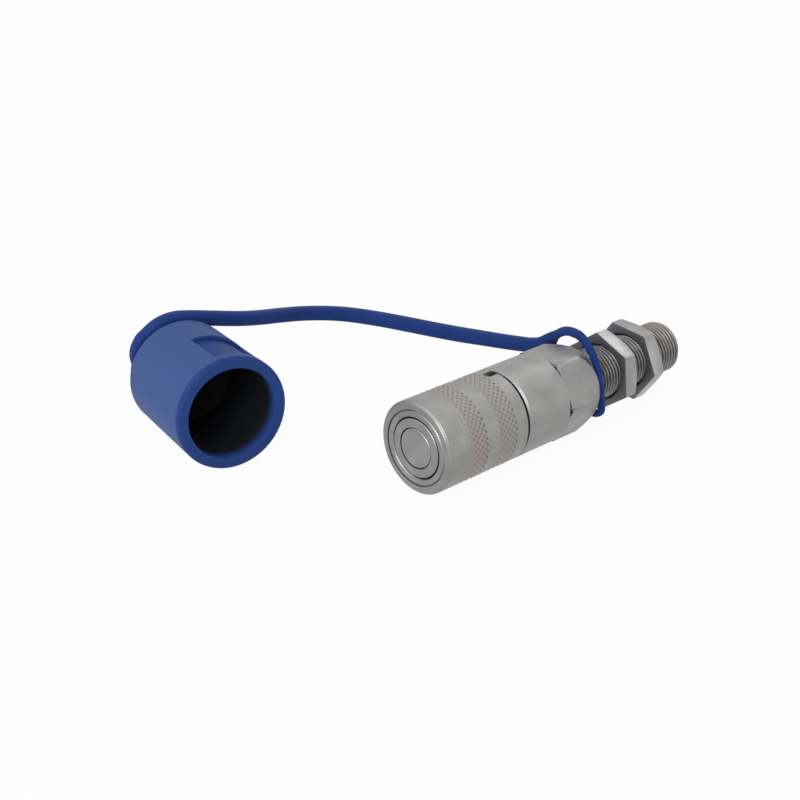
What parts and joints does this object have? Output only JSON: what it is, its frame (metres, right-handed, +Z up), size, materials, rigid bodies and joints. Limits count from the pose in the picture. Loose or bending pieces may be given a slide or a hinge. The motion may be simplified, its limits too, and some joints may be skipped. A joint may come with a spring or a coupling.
{
  "type": "hydraulic quick release coupling",
  "caption": "Flat-face hydraulic quick release coupling, bulkhead socket half with knurled sliding sleeve, sprung valve, threaded tail, jam nuts, and dust cap on a strap.",
  "frame": {"origin": "centre of the flat mating face, on the coupling's axis", "axes": "+X along the coupling's axis towards the threaded tail; +Z up from the surface that the coupling and its cap lie on; +Y towards the side where the cap lies"},
  "size_m": [0.1672, 0.1137, 0.0392],
  "materials": {
    "body_steel": "satin zinc-nickel plated, turned",
    "barrel_steel": "satin plated, turned",
    "sleeve_steel": "satin plated, two knurled bands",
    "valve_steel": "fine turned face",
    "nut_steel": "satin plated, sides ground, ends darker",
    "spring_steel": "drawn wire",
    "ball_steel": "polished hardened balls",
    "carrier_brass": "turned",
    "seal_rubber": "matt black",
    "backup_plastic": "white, matt",
    "cap_plastic": "blue, moulded, matt",
    "strap_plastic": "deep blue, moulded, soft sheen"
  },
  "bodies": {
    "body": {"rear_body": "body_steel", "front_barrel": "barrel_steel", "detent_ball": "ball_steel", "valve_spring": "spring_steel", "sleeve_spring": "spring_steel", "valve_stem": "valve_steel", "stem_seal": "seal_rubber", "stem_carrier": "carrier_brass", "stem_nut": "body_steel", "nose_seal": "seal_rubber", "nose_backup_ring": "backup_plastic", "body_seal": "seal_rubber", "valve_sleeve_seal": "seal_rubber", "strap": "strap_plastic"},
    "valve": {"valve_sleeve": "valve_steel"},
    "sleeve_ring": {"sleeve_snap_ring": "spring_steel"},
    "sleeve": {"locking_sleeve": "sleeve_steel"},
    "front_nut": {"front_jam_nut": "nut_steel"},
    "rear_nut": {"rear_jam_nut": "nut_steel"},
    "cap": {"dust_cap": "cap_plastic"},
    "ball_1": {"locking_ball_1": "ball_steel"},
    "ball_2": {"locking_ball_2": "ball_steel"},
    "ball_3": {"locking_ball_3": "ball_steel"},
    "ball_4": {"locking_ball_4": "ball_steel"},
    "ball_5": {"locking_ball_5": "ball_steel"},
    "ball_6": {"locking_ball_6": "ball_steel"},
    "ball_7": {"locking_ball_7": "ball_steel"},
    "ball_8": {"locking_ball_8": "ball_steel"}
  },
  "joints": [
    {"name": "valve_sleeve_slide", "type": "slide", "parent": "body", "child": "valve", "axis": [1, 0, 0], "range_m": [0, 0.01], "stiffness_N_per_m": 1500, "springref_m": -0.005, "deforming": ["valve_spring"]},
    {"name": "locking_sleeve_slide", "type": "slide", "parent": "body", "child": "sleeve_ring", "axis": [-1, 0, 0], "range_m": [0, 0.004], "deforming": ["sleeve_spring"]},
    {"name": "locking_sleeve_turn", "type": "hinge", "parent": "sleeve_ring", "child": "sleeve", "pos_m": [0.017, 0, 0], "axis": [1, 0, 0], "range_deg": [-1, 1]},
    {"name": "ball_1_slide", "type": "slide", "parent": "body", "child": "ball_1", "axis": [0, 0, -1], "range_m": [0, 0.0008]},
    {"name": "ball_2_slide", "type": "slide", "parent": "body", "child": "ball_2", "axis": [0, 0.7071, -0.7071], "range_m": [0, 0.0008]},
    {"name": "ball_3_slide", "type": "slide", "parent": "body", "child": "ball_3", "axis": [0, 1, 0], "range_m": [0, 0.0008]},
    {"name": "ball_4_slide", "type": "slide", "parent": "body", "child": "ball_4", "axis": [0, 0.7071, 0.7071], "range_m": [0, 0.0008]},
    {"name": "ball_5_slide", "type": "slide", "parent": "body", "child": "ball_5", "axis": [0, 0, 1], "range_m": [0, 0.0008]},
    {"name": "ball_6_slide", "type": "slide", "parent": "body", "child": "ball_6", "axis": [0, -0.7071, 0.7071], "range_m": [0, 0.0008]},
    {"name": "ball_7_slide", "type": "slide", "parent": "body", "child": "ball_7", "axis": [0, -1, 0], "range_m": [0, 0.0008]},
    {"name": "ball_8_slide", "type": "slide", "parent": "body", "child": "ball_8", "axis": [0, -0.7071, -0.7071], "range_m": [0, 0.0008]},
    {"name": "front_nut_run", "type": "slide", "parent": "body", "child": "front_nut", "axis": [1, 0, 0], "range_m": [-0.0078, 0.0037]},
    {"name": "rear_nut_run", "type": "slide", "parent": "body", "child": "rear_nut", "axis": [1, 0, 0], "range_m": [-0.0037, 0.0132]},
    {"name": "cap_swivel", "type": "hinge", "parent": "body", "child": "cap", "pos_m": [-0.02936, 0.05122, 0.0037], "axis": [-0.2011, -0.9796, 0], "continuous": true}
  ],
  "couplings": [
    {"joint": "locking_sleeve_slide", "follows": "valve_sleeve_slide", "ratio": 0.4},
    {"joint": "ball_1_slide", "follows": "valve_sleeve_slide", "ratio": 0.08},
    {"joint": "ball_2_slide", "follows": "valve_sleeve_slide", "ratio": 0.08},
    {"joint": "ball_3_slide", "follows": "valve_sleeve_slide", "ratio": 0.08},
    {"joint": "ball_4_slide", "follows": "valve_sleeve_slide", "ratio": 0.08},
    {"joint": "ball_5_slide", "follows": "valve_sleeve_slide", "ratio": 0.08},
    {"joint": "ball_6_slide", "follows": "valve_sleeve_slide", "ratio": 0.08},
    {"joint": "ball_7_slide", "follows": "valve_sleeve_slide", "ratio": 0.08},
    {"joint": "ball_8_slide", "follows": "valve_sleeve_slide", "ratio": 0.08}
  ]
}
